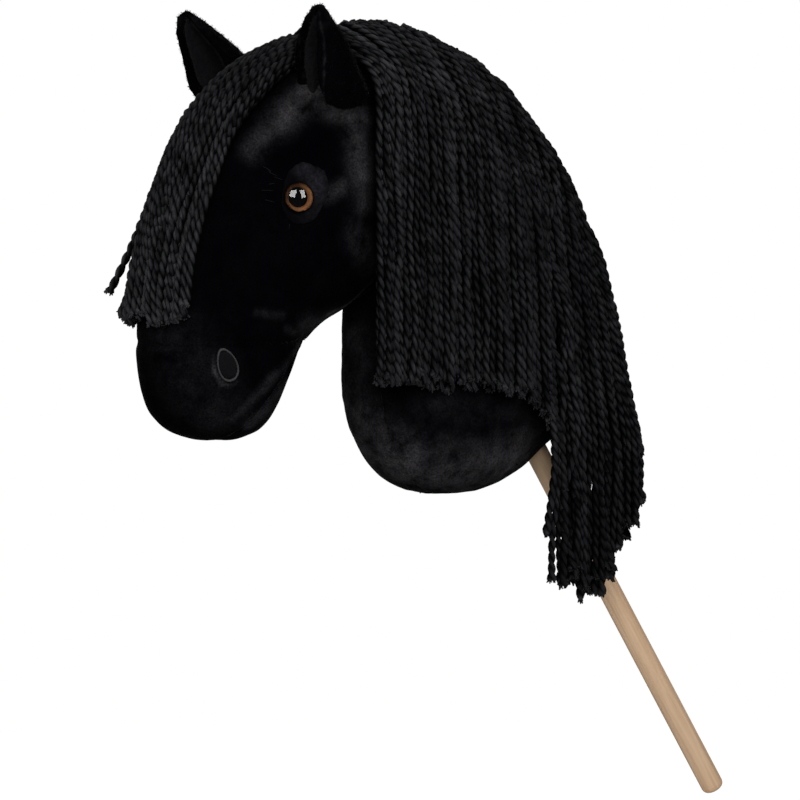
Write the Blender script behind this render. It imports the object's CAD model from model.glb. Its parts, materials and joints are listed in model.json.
# %% [markdown]
# # A black hobby horse
#
# The toy is a stuffed plush horse's head that sits on a beech stick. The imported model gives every
# piece its place and its size. This lesson dresses it: plush over the filling, twisted yarn for the
# mane and the forelock, a glossy eye, stitched nostrils and wood grain. It starts by loading the
# model and by keeping its box, so that the dressed toy can be compared with it at the end.

import json
import math
import random

import bmesh
import bpy
from mathutils import Matrix, Quaternion, Vector, noise
from mathutils.bvhtree import BVHTree


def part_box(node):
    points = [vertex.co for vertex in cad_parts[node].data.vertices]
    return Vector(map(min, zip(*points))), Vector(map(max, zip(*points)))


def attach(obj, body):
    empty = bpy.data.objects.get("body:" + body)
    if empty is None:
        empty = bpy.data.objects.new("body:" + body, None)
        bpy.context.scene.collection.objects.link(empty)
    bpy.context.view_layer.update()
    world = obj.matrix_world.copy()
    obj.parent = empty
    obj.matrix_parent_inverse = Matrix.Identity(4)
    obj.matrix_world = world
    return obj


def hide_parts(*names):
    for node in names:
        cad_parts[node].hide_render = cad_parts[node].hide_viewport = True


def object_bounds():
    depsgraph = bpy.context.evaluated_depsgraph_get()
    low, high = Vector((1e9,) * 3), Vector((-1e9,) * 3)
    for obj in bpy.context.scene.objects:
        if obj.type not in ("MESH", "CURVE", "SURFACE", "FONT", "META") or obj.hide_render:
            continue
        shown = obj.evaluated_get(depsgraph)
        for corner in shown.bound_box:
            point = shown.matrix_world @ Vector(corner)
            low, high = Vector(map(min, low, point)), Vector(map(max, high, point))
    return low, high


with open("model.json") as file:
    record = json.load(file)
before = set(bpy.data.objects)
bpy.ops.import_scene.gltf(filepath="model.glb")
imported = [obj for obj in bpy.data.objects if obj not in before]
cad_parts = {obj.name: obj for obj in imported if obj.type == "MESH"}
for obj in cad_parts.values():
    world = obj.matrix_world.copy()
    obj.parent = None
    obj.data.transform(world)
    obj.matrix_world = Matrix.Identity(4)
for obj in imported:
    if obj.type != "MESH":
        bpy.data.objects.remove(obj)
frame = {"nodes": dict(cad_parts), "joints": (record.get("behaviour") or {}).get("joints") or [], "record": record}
cad_low, cad_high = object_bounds()
print("model's box", [round(side, 3) for side in cad_high - cad_low])

# %% [markdown]
# ## The camera and the light
#
# The photograph was taken from the horse's left and a little ahead of it, from far away with a long
# lens, so its lines hardly converge. A long lens far away gives the same look here. The light is two
# large softboxes, which also make the two bright windows in the eye.

# %% Aim the camera
VIEW_TARGET = Vector((-0.3422, 0.0, 0.3504))
VIEW_AZIMUTH = math.radians(-35)
VIEW_ELEVATION = math.radians(1)
VIEW_DISTANCE = 8.0
VIEW_WIDTH = 0.696
SENSOR_WIDTH = 36.0
UP = Vector((0.0, 0.0, 1.0))


def direction(azimuth, elevation):
    """The way from the toy towards an azimuth round it, where 0 is its left side."""
    level = Vector((math.sin(azimuth), -math.cos(azimuth), 0.0))
    return level * math.cos(elevation) + UP * math.sin(elevation)


camera = bpy.data.objects.new("photo_camera", bpy.data.cameras.new("photo_camera"))
camera.data.sensor_width = SENSOR_WIDTH
camera.data.lens = SENSOR_WIDTH * VIEW_DISTANCE / VIEW_WIDTH
towards_camera = direction(VIEW_AZIMUTH, VIEW_ELEVATION)
camera.location = VIEW_TARGET + towards_camera * VIEW_DISTANCE
camera.rotation_euler = towards_camera.to_track_quat("Z", "Y").to_euler()
bpy.context.collection.objects.link(camera)
bpy.context.scene.camera = camera
bpy.context.scene.view_settings.view_transform = "Standard"
print("lens", round(camera.data.lens, 1))

# %% Hang the softboxes
LIGHT_DISTANCE = 1.7
LIGHT_LIFT = 0.1


def softbox(name, azimuth, elevation, width, height, brightness, roll=0.0):
    """A lamp that faces the head. Its power follows from its size and its brightness."""
    lamp = bpy.data.lights.new(name, "AREA")
    lamp.shape = "RECTANGLE"
    lamp.size = width
    lamp.size_y = height
    lamp.energy = brightness * math.pi * width * height
    made = bpy.data.objects.new(name, lamp)
    way = direction(math.radians(azimuth), math.radians(elevation))
    made.location = VIEW_TARGET + UP * LIGHT_LIFT + way * LIGHT_DISTANCE
    turned = way.to_track_quat("Z", "Y") @ Quaternion(UP, math.radians(roll))
    made.rotation_euler = turned.to_euler()
    bpy.context.collection.objects.link(made)


softbox(
    "softbox_front", azimuth=-37, elevation=21.5, width=0.90, height=0.82, brightness=4.6, roll=-9
)
softbox(
    "softbox_rear", azimuth=4, elevation=18.5, width=0.45, height=0.75, brightness=4.3, roll=8
)
softbox("softbox_far", azimuth=150, elevation=40, width=1.0, height=1.0, brightness=1.0)
print("softboxes", len(bpy.data.lights))

# %% [markdown]
# Every finish is a tree of the same few shader nodes: a mix of two colours, a product, noise, a
# change of range and a bump. Each gets a short function here, so that the finishes read as recipes.

# %% Give the shader nodes short names


def add_node(tree, kind, inputs=None, **settings):
    """A node with its settings, its input values and its incoming links in one call."""
    node = tree.nodes.new("ShaderNode" + kind)
    for name, value in settings.items():
        setattr(node, name, value)
    for name, value in (inputs or {}).items():
        if isinstance(value, bpy.types.NodeSocket):
            tree.links.new(value, node.inputs[name])
        else:
            node.inputs[name].default_value = value
    return node


def grey(level):
    return (level, level, level, 1.0)


def mix(tree, factor, first, second):
    """A colour between two colours."""
    inputs = {"Factor": factor, 6: first, 7: second}
    return add_node(tree, "Mix", inputs, data_type="RGBA").outputs[2]


def calculated(tree, operation, first, second, **settings):
    inputs = {0: first, 1: second}
    return add_node(tree, "Math", inputs, operation=operation, **settings).outputs[0]


def speckle(tree, where, scale, detail=2.0, roughness=0.5):
    """Noise. A scale of 100 makes spots about a centimetre across."""
    inputs = {"Vector": where, "Scale": scale, "Detail": detail, "Roughness": roughness}
    return add_node(tree, "TexNoise", inputs).outputs["Fac"]


def ranged(tree, value, low, high, to_low, to_high):
    """The value, taken from one range to another and held inside it."""
    inputs = {
        "Value": value, "From Min": low, "From Max": high, "To Min": to_low, "To Max": to_high
    }
    return add_node(tree, "MapRange", inputs).outputs[0]


def object_place(tree):
    return add_node(tree, "TexCoord").outputs["Object"]


def painted(tree, name):
    """The values that a mesh keeps for its points under a name."""
    return add_node(tree, "Attribute", attribute_name=name).outputs["Fac"]


def bumped(tree, shader, height, strength, distance):
    inputs = {"Height": height, "Strength": strength, "Distance": distance}
    bump = add_node(tree, "Bump", inputs)
    tree.links.new(bump.outputs["Normal"], shader.inputs["Normal"])


def new_material(name, values):
    """A material whose shader has the given plain values."""
    made = bpy.data.materials.new(name)
    made.use_nodes = True
    shader = made.node_tree.nodes["Principled BSDF"]
    for socket, value in values.items():
        shader.inputs[socket].default_value = value
    return made, made.node_tree, shader


print("a pale grey is", grey(0.9))

# %% [markdown]
# The toy stands in front of white paper. The camera sees it white, while the toy gets only a weak
# light from all round and its gloss sees a nearly dark room, or the black pile would look grey.

# %% Paint the background
AMBIENT = 0.32
GLOSSY_AMBIENT = 0.03

world = bpy.data.worlds.new("white_studio")
bpy.context.scene.world = world
world.use_nodes = True
sky = world.node_tree
rays = add_node(sky, "LightPath").outputs
around = mix(sky, rays["Is Glossy Ray"], grey(AMBIENT), grey(GLOSSY_AMBIENT))
shown = mix(sky, rays["Is Camera Ray"], around, grey(1.0))
sky.links.new(shown, sky.nodes["Background"].inputs["Color"])
print("background", world.name)

# %% Lay the floor
FLOOR_RADIUS = 1.2
FLOOR_GAP = 0.0005
FLOOR_GLOW = 1.16
GLOW_SHARE = 0.85

bm = bmesh.new()
bmesh.ops.create_circle(bm, cap_ends=True, segments=96, radius=FLOOR_RADIUS)
floor_mesh = bpy.data.meshes.new("floor")
bm.to_mesh(floor_mesh)
bm.free()
floor = bpy.data.objects.new("floor", floor_mesh)
floor.location.z = cad_low.z - FLOOR_GAP
bpy.context.collection.objects.link(floor)
pale_floor, paint, shader = new_material("pale_floor", {"Roughness": 0.9})
rays = add_node(paint, "LightPath").outputs
laid = mix(paint, rays["Is Glossy Ray"], grey(0.9), grey(GLOSSY_AMBIENT))
paint.links.new(laid, shader.inputs["Base Color"])
glow = add_node(paint, "Emission", {"Color": grey(1.0), "Strength": FLOOR_GLOW}).outputs[0]
share = calculated(paint, "MULTIPLY", rays["Is Camera Ray"], GLOW_SHARE)
blend = add_node(paint, "MixShader", {0: share, 1: shader.outputs[0], 2: glow}).outputs[0]
paint.links.new(blend, paint.nodes["Material Output"].inputs["Surface"])
floor_mesh.materials.append(pale_floor)
print("floor at", round(floor.location.z, 4))

# %% [markdown]
# ## The plush
#
# The plush is short black pile. Where a hand has brushed it one way it shines a soft grey, and where
# it lies the other way it swallows the light. A vertex attribute named nap holds how each place was
# brushed, noise breaks its edges up, and fine noise gives the pile its bump. The same node group
# serves the cover and the ear lining, so it is built once.

# %% Build the pile group
pile = bpy.data.node_groups.new("brushed_pile", "ShaderNodeTree")
for in_out, label, kind in (
    ("INPUT", "Where", "NodeSocketVector"), ("INPUT", "Nap", "NodeSocketFloat"),
    ("INPUT", "Dark", "NodeSocketColor"), ("INPUT", "Light", "NodeSocketColor"),
    ("OUTPUT", "Color", "NodeSocketColor"), ("OUTPUT", "Height", "NodeSocketFloat"),
):
    pile.interface.new_socket(name=label, in_out=in_out, socket_type=kind)
given = pile.nodes.new("NodeGroupInput").outputs
result = pile.nodes.new("NodeGroupOutput").inputs
clouds = speckle(pile, given["Where"], 42.0, detail=6.0, roughness=0.68)
fibres = speckle(pile, given["Where"], 620.0, detail=3.0)
brushed = calculated(pile, "MULTIPLY", given["Nap"], ranged(pile, clouds, 0.34, 0.66, 0.15, 1.5))
fine = ranged(pile, fibres, 0.3, 0.7, 0.45, 1.55)
mask = calculated(pile, "MULTIPLY", brushed, fine, use_clamp=True)
pile.links.new(mix(pile, mask, given["Dark"], given["Light"]), result["Color"])
pile.links.new(fibres, result["Height"])
print("pile group", len(pile.nodes), "nodes")

# %% Mix the plush finishes
PLUSH_VALUES = {
    "Roughness": 0.85, "Specular IOR Level": 0.015, "Sheen Weight": 0.035, "Sheen Roughness": 0.2
}


def plush(name, dark, light):
    made, tree, shader = new_material(name, PLUSH_VALUES)
    inputs = {"Where": object_place(tree), "Nap": painted(tree, "nap"), "Dark": dark, "Light": light}
    group = add_node(tree, "Group", inputs, node_tree=pile).outputs
    tree.links.new(group["Color"], shader.inputs["Base Color"])
    bumped(tree, shader, group["Height"], 0.5, 0.0012)
    return made


black_plush = plush("black_plush", (0.0004, 0.0004, 0.0010, 1.0), (0.056, 0.053, 0.057, 1.0))
lining_plush = plush("ear_lining_plush", (0.0100, 0.0098, 0.0112, 1.0), (0.060, 0.058, 0.062, 1.0))
print("plush", black_plush.name, lining_plush.name)

# %% [markdown]
# ## The cover
#
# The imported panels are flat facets, as paper patterns are. A stuffed head is round, so the panels and
# the filling are melted into one closed skin with a voxel remesh, which is then smoothed and let out
# again to the size it had. The skin is cut into the same panels afterwards.

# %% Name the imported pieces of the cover
COVER_NODES = (
    "forehead_gusset", "jaw_gusset", "face_panel_left", "face_panel_right", "muzzle_cover",
    "lower_lip", "neck_gusset", "neck_panel_left", "neck_panel_right", "mane_tape",
)
FILLING_NODES = ("neck_stuffing", "head_stuffing", "stick_socket")
STICK_UP = Vector(frame["joints"][0]["axis"]).normalized()
STICK_RADIUS = 0.010
POINT_GAP = 0.00001


def merged_copy(*nodes):
    """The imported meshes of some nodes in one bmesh, their loose triangles joined up."""
    bm = bmesh.new()
    for node in nodes:
        bm.from_mesh(frame["nodes"][node].data)
    bmesh.ops.remove_doubles(bm, verts=bm.verts[:], dist=POINT_GAP)
    return bm


def tree_of(bm):
    bm.normal_update()
    return BVHTree.FromBMesh(bm)


cad_cover = tree_of(merged_copy(*COVER_NODES))
print(len(COVER_NODES), "cover nodes and", len(FILLING_NODES), "inside them")

# %% Make one smooth skin
VOXEL = 0.0024
SMOOTHINGS = 46


def remeshed(bm, voxel):
    """A closed skin round everything in the bmesh, in faces one voxel across."""
    mesh = bpy.data.meshes.new("melted")
    bm.to_mesh(mesh)
    bm.free()
    work = bpy.data.objects.new("melted", mesh)
    bpy.context.collection.objects.link(work)
    melt = work.modifiers.new("melt", "REMESH")
    melt.mode = "VOXEL"
    melt.voxel_size = voxel
    made = bmesh.new()
    made.from_object(work, bpy.context.evaluated_depsgraph_get())
    bpy.data.objects.remove(work)
    return made


def smoothed(bm, times):
    for _ in range(times):
        bmesh.ops.smooth_vert(
            bm, verts=bm.verts, factor=0.5, use_axis_x=True, use_axis_y=True, use_axis_z=True
        )


levels = [vert.co.dot(STICK_UP) for vert in frame["nodes"]["stick_socket"].data.vertices]
socket_foot, socket_top = min(levels), max(levels)
plug_middle = Matrix.Translation(STICK_UP * (socket_top + socket_foot) / 2)
solids = merged_copy(*COVER_NODES, *FILLING_NODES)
bmesh.ops.create_cone(
    solids,
    cap_ends=True,
    segments=24,
    radius1=STICK_RADIUS + 0.001,
    radius2=STICK_RADIUS + 0.001,
    depth=socket_top - socket_foot - 0.006,
    matrix=plug_middle @ STICK_UP.to_track_quat("Z", "Y").to_matrix().to_4x4(),
)
skin = remeshed(solids, VOXEL)
smoothed(skin, SMOOTHINGS)
print("skin", len(skin.verts), "vertices")

# %% Let the skin out to its size again


def neighbour_means(bm, values, times):
    """Values on the vertices, each replaced by its mean with its neighbours."""
    around = [[edge.other_vert(vert).index for edge in vert.link_edges] for vert in bm.verts]
    for _ in range(times):
        values = [
            (value + sum(values[i] for i in near)) / (len(near) + 1)
            for value, near in zip(values, around)
        ]
    return values


def let_out(bm, tree, times):
    """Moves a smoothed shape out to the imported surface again, evenly, so that it stays smooth."""
    bm.verts.index_update()
    bm.normal_update()
    shrunk = []
    for vert in bm.verts:
        nearest = tree.find_nearest(vert.co)[0]
        shrunk.append((nearest - vert.co).dot(vert.normal))
    for vert, step in zip(bm.verts, neighbour_means(bm, shrunk, times)):
        vert.co += vert.normal * step
    bm.normal_update()
    return max(shrunk)


print("let out by up to", round(let_out(skin, cad_cover, 12) * 1000, 1), "mm")

# %% [markdown]
# A seam on plush is a soft groove: the thread pulls the two edges in, and the filling swells on both
# sides of it. The distance to the second nearest panel tells how far a point is from its seam. The
# skin also gets the slight lumps of loose filling and small puckers along the thread.

# %% Find the nearest seam
SEARCH = 0.03

panel_trees = {node: tree_of(merged_copy(node)) for node in COVER_NODES}


def panel_and_seam(point):
    """The panel that a point lies on, and its distance to the next panel."""
    found = []
    for node, tree in panel_trees.items():
        distance = tree.find_nearest(point, SEARCH)[3]
        if distance is not None:
            found.append((distance, node))
    found.sort()
    return found[0][1], found[1][0] if len(found) > 1 else SEARCH


print("the first point lies on", panel_and_seam(next(iter(skin.verts)).co)[0])

# %% Shape the grooves and the lumps
GROOVE_DEPTH = 0.0015
GROOVE_WIDTH = 0.0028
SWELL_HEIGHT = 0.0007
SWELL_WIDTH = 0.009
PUCKER_HEIGHT = 0.0006
PUCKER_WIDTH = 0.007
LUMP_HEIGHT = 0.0016
DENT_DEPTH = 0.0014
DENT_RADIUS = 0.016
CALM_RADIUS = 0.03
SIDES = {"left": -1, "right": 1}


def bell(distance, width):
    """1 in the middle, falling off smoothly to hardly anything at twice the width."""
    return math.exp(-((distance / width) ** 2))


def middle_of(node):
    low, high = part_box(node)
    return (low + high) / 2


def seam_shift(point, seam):
    swell = SWELL_HEIGHT * bell(seam - SWELL_WIDTH, SWELL_WIDTH)
    pucker = PUCKER_HEIGHT * noise.noise(point * 190) * bell(seam, PUCKER_WIDTH)
    return swell + pucker - GROOVE_DEPTH * bell(seam, GROOVE_WIDTH)


def filling_shift(point, from_eye):
    """The lumps of the filling, which the stem of an eye holds flat round it."""
    lumps = 0.65 * noise.noise(point * 17) + 0.35 * noise.noise(point * 52)
    return LUMP_HEIGHT * lumps * (1 - bell(from_eye, CALM_RADIUS))


def eye_shift(from_eye):
    """The stem of an eye draws the cover in round it."""
    return -DENT_DEPTH * math.exp(-((from_eye / DENT_RADIUS) ** 4))


eye_centres = [middle_of(f"eye_ring_{side}") for side in SIDES]
print("eyes", [round(n, 3) for n in eye_centres[0]], "and mirrored")

# %% [markdown]
# The maker pushes the filling about by hand until the outline is right. Each push here has a place,
# a way and a reach, and it moves everything near its place a little.

# %% Draw the seams in
PUSHES = (
    ("neck front", (-0.400, 0.0, 0.375), (-0.0030, 0.0, 0.0), 0.055),
    ("neck bend", (-0.396, 0.0, 0.326), (-0.0045, 0.0, 0.0), 0.034),
    ("neck foot", (-0.345, 0.0, 0.280), (0.0, 0.0, 0.0023), 0.045),
    ("chin", (-0.515, 0.0, 0.315), (0.0, 0.0, 0.0030), 0.045),
    ("chin front", (-0.585, 0.0, 0.330), (0.0008, 0.0, 0.0019), 0.040),
    ("nose", (-0.615, 0.0, 0.385), (-0.0012, 0.0, 0.0), 0.035),
    ("jaw", (-0.425, 0.0, 0.418), (-0.0008, 0.0, 0.0014), 0.030),
)


def push_at(point):
    """How far all the pushes move a point."""
    total = Vector()
    for _, place, way, reach in PUSHES:
        total += Vector(way) * bell((point - Vector(place)).length, reach)
    return total


owner = {}
shifts = []
for vert in skin.verts:
    owner[vert.index], seam = panel_and_seam(vert.co)
    from_eye = min((vert.co - centre).length for centre in eye_centres)
    shifts.append(
        seam_shift(vert.co, seam) + filling_shift(vert.co, from_eye) + eye_shift(from_eye)
    )
for vert, shift in zip(skin.verts, shifts):
    vert.co += vert.normal * shift + push_at(vert.co)
skin_tree = tree_of(skin)
skin.faces.index_update()
print("seams drawn in on", len(panel_trees), "panels, with", len(PUSHES), "pushes")

# %% [markdown]
# A nostril's stitches push the pile up round them, so the nostrils are found before the pile is
# brushed. Each gets a frame on the skin: Z points out of it and Y up.

# %% Find the nostrils
FAR_OUT = 1.0
NOSTRIL_HALF = (0.0095, 0.0150)
NOSTRIL_LEAN = math.radians(22)
NOSTRIL_EGG = 0.20
NOSTRIL_SHIFT = (-0.0030, 0.0046)


def turned_flat(x, y, angle):
    """A place on a flat sheet, turned about the sheet's middle."""
    return (
        x * math.cos(angle) - y * math.sin(angle),
        x * math.sin(angle) + y * math.cos(angle),
    )


def nostril_outline(angle):
    """An egg that is narrower at its top and leans back at its foot."""
    x = NOSTRIL_HALF[0] * math.cos(angle) * (1 - NOSTRIL_EGG * math.sin(angle))
    return turned_flat(x, NOSTRIL_HALF[1] * math.sin(angle), NOSTRIL_LEAN)


def upright_frame(place, outward):
    """A frame at a place, with Z outward and Y upward."""
    across = UP.cross(outward).normalized()
    turned = Matrix((across, outward.cross(across), outward)).transposed().to_4x4()
    return Matrix.Translation(place) @ turned


def nostril_frame(side):
    sign = SIDES[side]
    middle = middle_of(f"nostril_border_{side}")
    start = Vector((middle.x, sign * FAR_OUT, middle.z))
    hit, normal = skin_tree.ray_cast(start, Vector((0.0, -sign, 0.0)))[:2]
    outward = Vector((normal.x, normal.y, 0.0)).normalized()
    shift = Matrix.Translation((-sign * NOSTRIL_SHIFT[0], NOSTRIL_SHIFT[1], 0.0))
    return upright_frame(hit, outward) @ shift


nostril_frames = {side: nostril_frame(side) for side in SIDES}
print("a nostril at", [round(n, 3) for n in nostril_frames["left"].translation])

# %% [markdown]
# The pile was stroked by hand before the picture was taken. Each stroke here is a line from one point
# of the skin to another, as wide as a finger, and both sides of the head get it. Bright strokes show
# where the pile lies towards the light, and a dark one is the shadow of pile that lies away from it.

# %% List the strokes
BRIGHT_STROKES = (
    ("brow", (-0.505, 0.052, 0.590), (-0.473, 0.056, 0.618), 0.0130, 0.61),
    ("brow's foot", (-0.528, 0.047, 0.566), (-0.505, 0.052, 0.590), 0.010, 0.38),
    ("crown", (-0.471, 0.061, 0.603), (-0.428, 0.065, 0.593), 0.009, 0.60),
    ("behind the eye", (-0.436, 0.066, 0.584), (-0.427, 0.063, 0.545), 0.012, 0.46),
    ("below the ear", (-0.430, 0.063, 0.548), (-0.424, 0.062, 0.520), 0.012, 0.30),
    ("temple", (-0.463, 0.066, 0.528), (-0.448, 0.064, 0.535), 0.007, 0.42),
    ("cheek", (-0.430, 0.060, 0.496), (-0.405, 0.050, 0.466), 0.013, 0.27),
    ("cheek fold", (-0.527, 0.050, 0.428), (-0.500, 0.047, 0.425), 0.004, 0.16),
    ("lower cheek fold", (-0.494, 0.046, 0.414), (-0.478, 0.044, 0.408), 0.004, 0.12),
    ("jaw", (-0.472, 0.034, 0.418), (-0.440, 0.025, 0.425), 0.012, 0.32),
    ("jaw's edge", (-0.4431, 0.0350, 0.4254), (-0.4177, 0.0290, 0.4338), 0.0024, 0.55),
    ("jaw's rear edge", (-0.4177, 0.0290, 0.4338), (-0.3920, 0.0290, 0.4505), 0.0024, 0.75),
    ("mouth", (-0.472, 0.031, 0.397), (-0.519, 0.047, 0.363), 0.005, 0.30),
    ("mouth corner", (-0.519, 0.047, 0.363), (-0.547, 0.042, 0.337), 0.005, 0.20),
    ("lip", (-0.487, 0.033, 0.365), (-0.527, 0.040, 0.331), 0.007, 0.26),
    ("muzzle", (-0.600, 0.030, 0.400), (-0.560, 0.040, 0.340), 0.036, 0.09),
    ("neck foot", (-0.369, 0.020, 0.300), (-0.240, 0.035, 0.296), 0.026, 0.66),
    ("neck side", (-0.347, 0.052, 0.343), (-0.240, 0.055, 0.335), 0.018, 0.10),
    ("throat", (-0.383, 0.006, 0.334), (-0.357, 0.021, 0.290), 0.022, 0.45),
    ("gusset", (-0.398, 0.006, 0.405), (-0.390, 0.006, 0.355), 0.020, 0.16),
)
DARK_STROKES = (
    ("over the eye", (-0.500, 0.061, 0.560), (-0.470, 0.063, 0.573), 0.018, 0.9),
    ("dart below the ear", (-0.474, 0.060, 0.610), (-0.4845, 0.058, 0.599), 0.0024, 0.95),
)
print(len(BRIGHT_STROKES), "bright strokes and", len(DARK_STROKES), "dark ones")

# %% Push the pile up round the nostrils
EDGE_SHINE = 0.48
EDGE_AWAY = 0.0032
EDGE_WIDTH = 0.0020
EDGE_FROM = 0.008
EDGE_RAMP = 0.004
NOSTRIL_REACH = 0.04
NOSTRIL_DEPTH = 0.02

outline = [nostril_outline(math.radians(degrees)) for degrees in range(0, 360, 9)]
nostril_rims = {side: [Vector((-sign * x, y)) for x, y in outline] for side, sign in SIDES.items()}
nostril_inverses = {side: placed.inverted() for side, placed in nostril_frames.items()}


def clamped(value, low=0.0, high=1.0):
    return min(max(value, low), high)


def nostril_edge(point):
    """The pile that the nostril's stitches push up, strongest below it and in front of it."""
    side = "left" if point.y < 0 else "right"
    local = nostril_inverses[side] @ point
    from_middle = local.xy.length
    if from_middle > NOSTRIL_REACH or abs(local.z) > NOSTRIL_DEPTH:
        return 0.0
    away = min((local.xy - rim).length for rim in nostril_rims[side])
    facing = max(0.0, (local.x * SIDES[side] - local.y) / max(from_middle, 0.001))
    outside = clamped((from_middle - EDGE_FROM) / EDGE_RAMP)
    return EDGE_SHINE * outside * facing * bell(away - EDGE_AWAY, EDGE_WIDTH)


print("a nostril's edge has", len(outline), "points")

# %% Brush the nap
PILE_AT_REST = 0.012


def stroke_at(point, start, end, width):
    """How much of a stroke a point gets: all of it on its line, and little beyond its width."""
    start, end = Vector(start), Vector(end)
    run = end - start
    share = clamped((point - start).dot(run) / run.length_squared)
    return bell((point - start - run * share).length, width)


def nap_at(point):
    """How far the pile shines at a point of the skin."""
    mirrored = Vector((point.x, abs(point.y), point.z))
    shine = PILE_AT_REST
    for _, start, end, width, strength in BRIGHT_STROKES:
        shine = max(shine, strength * stroke_at(mirrored, start, end, width))
    for _, start, end, width, strength in DARK_STROKES:
        shine *= 1 - strength * stroke_at(mirrored, start, end, width)
    return max(shine, nostril_edge(point))


print("the brow shines", round(nap_at(Vector(BRIGHT_STROKES[0][1])), 2))

# %% [markdown]
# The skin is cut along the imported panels' borders, so that the dressed toy has the same panels as
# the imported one. The borders are smoothed first, or each cut would follow the zigzag of the voxels.
# A hole is left where the stick goes in.

# %% Straighten the borders between the panels
SEAM_SMOOTHINGS = 8
HOLE_FIT = 0.0012
HOLE_DEPTH = 0.08


def off_stick(point):
    along = point.dot(STICK_UP)
    beside = (point - STICK_UP * along).length > STICK_RADIUS + HOLE_FIT
    return beside or along > socket_foot + HOLE_DEPTH


panel_of_face = {
    face.index: owner[face.verts[0].index] if off_stick(face.calc_center_median()) else "hole"
    for face in skin.faces
}
beside = {}
for edge in skin.edges:
    if len({panel_of_face[face.index] for face in edge.link_faces}) > 1:
        for vert in edge.verts:
            beside.setdefault(vert, []).append(edge.other_vert(vert))
for _ in range(SEAM_SMOOTHINGS):
    moved = {
        vert: vert.co * 0.5 + (near[0].co + near[1].co) * 0.25
        for vert, near in beside.items()
        if len(near) == 2
    }
    for vert, place in moved.items():
        vert.co = place
print(len(beside), "vertices on the borders")

# %% Cut the skin into its panels
COVER_WALL = 0.0022

slot_of = {part["node"]: part["material_slot"] for part in frame["record"]["subparts"]}


def paint_points(mesh, name, values):
    """Keeps a value for each point of a mesh under a name."""
    mesh.attributes.new(name, "FLOAT", "POINT").data.foreach_set("value", values)


def add_piece(name, bm, finish, replaces=(), nap=None):
    """Puts a finished shape in the scene, on the head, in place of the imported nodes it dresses."""
    mesh = bpy.data.meshes.new(name)
    bm.to_mesh(mesh)
    bm.free()
    if nap:
        paint_points(mesh, "nap", [nap(vert.co) for vert in mesh.vertices])
    mesh.shade_smooth()
    mesh.materials.append(finish)
    piece = bpy.data.objects.new(name, mesh)
    bpy.context.collection.objects.link(piece)
    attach(piece, "head")
    if replaces:
        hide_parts(*replaces)
    slot_of[replaces[0]] if replaces else "grey_thread"
    return piece


def thicken(piece, thickness):
    """Gives a sheet a wall, on its inner side."""
    wall = piece.modifiers.new("wall", "SOLIDIFY")
    wall.thickness = thickness
    wall.offset = -1


for node in COVER_NODES:
    sheet = skin.copy()
    outside = [face for face in sheet.faces if panel_of_face[face.index] != node]
    bmesh.ops.delete(sheet, geom=outside, context="FACES")
    piece = add_piece(node + "_plush", sheet, black_plush, replaces=(node,), nap=nap_at)
    thicken(piece, COVER_WALL)
print("cover cut into", len(COVER_NODES), "panels")

# %% [markdown]
# The filling keeps its packed form, but it is drawn in a little under the cover wherever the smooth
# skin dips below it, so that no fibre shows through the plush.

# %% Draw the filling in under the cover
FILLING_DEPTH = 0.0048

fillings = {}
for node in ("neck_stuffing", "head_stuffing"):
    bm = merged_copy(node)
    bmesh.ops.subdivide_edges(bm, edges=bm.edges[:], cuts=3, use_grid_fill=True)
    for vert in bm.verts:
        nearest, normal = skin_tree.find_nearest(vert.co)[:2]
        if (nearest - vert.co).dot(normal) < FILLING_DEPTH:
            vert.co = nearest - normal * FILLING_DEPTH
    print(node, len(bm.verts), "vertices")
    fillings[node] = bm

# %% [markdown]
# ## The ears
#
# An ear is a leaf of plush sewn to a lining and folded so that it cups forward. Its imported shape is
# angular, so each of its two pieces is remeshed at a millimetre and smoothed, and its foot is drawn
# down in front and up behind to sit on the head. Short tufts of pile make its outline soft.

# %% Read values off short lists
PICTURE_RIGHT = Vector((0.819, -0.574, 0.0))


def profile(stations, at):
    """The value at a place between stations of (place, value)."""
    if at <= stations[0][0]:
        return stations[0][1]
    for (low, first), (high, second) in zip(stations, stations[1:]):
        if at <= high:
            return first + (second - first) * (at - low) / (high - low)
    return stations[-1][1]


def fallen(height, heights):
    """How far a height has come down from the upper to the lower of two heights."""
    return clamped((heights[0] - height) / (heights[0] - heights[1]))


def eased(share):
    """The same share, but with a soft start and a soft stop."""
    return share**2 * (3 - 2 * share)


def left_across(point):
    """How far right a point lies in the photograph, once it is mirrored to the left side."""
    return (Vector((point.x, -abs(point.y), 0.0)) - VIEW_TARGET).dot(PICTURE_RIGHT)


print("halfway down, eased:", eased(fallen(0.5, (1.0, 0.0))))

# %% Set the form of the ears
EAR_VOXEL = 0.0011
EAR_SMOOTHINGS = 40
EAR_EVENINGS = 40
EAR_RIPPLE = 0.0006
EAR_DRAW_HEIGHTS = (0.655, 0.625)
EAR_DRAW = (
    (-0.105, -0.0100), (-0.084, -0.0105), (-0.0775, -0.0130), (-0.0730, -0.0020),
    (-0.067, 0.0020), (-0.056, 0.0060), (-0.043, 0.0022), (-0.028, -0.0065),
)
EAR_BEND = {
    "left": ((0.625, 0.0034), (0.660, 0.0030), (0.686, 0.0014)),
    "right": ((0.625, 0.0022), (0.650, 0.0020), (0.665, 0.0004), (0.686, -0.0016)),
}
EAR_STRETCH = 0.11
STRETCH_MIDDLE = {"left": -0.0815, "right": -0.1697}
STRETCH_HEIGHTS = (0.660, 0.640)
EAR_BLUNT = {"left": 0.0, "right": 0.0018}
BLUNT_HEIGHTS = (0.690, 0.680)


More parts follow.
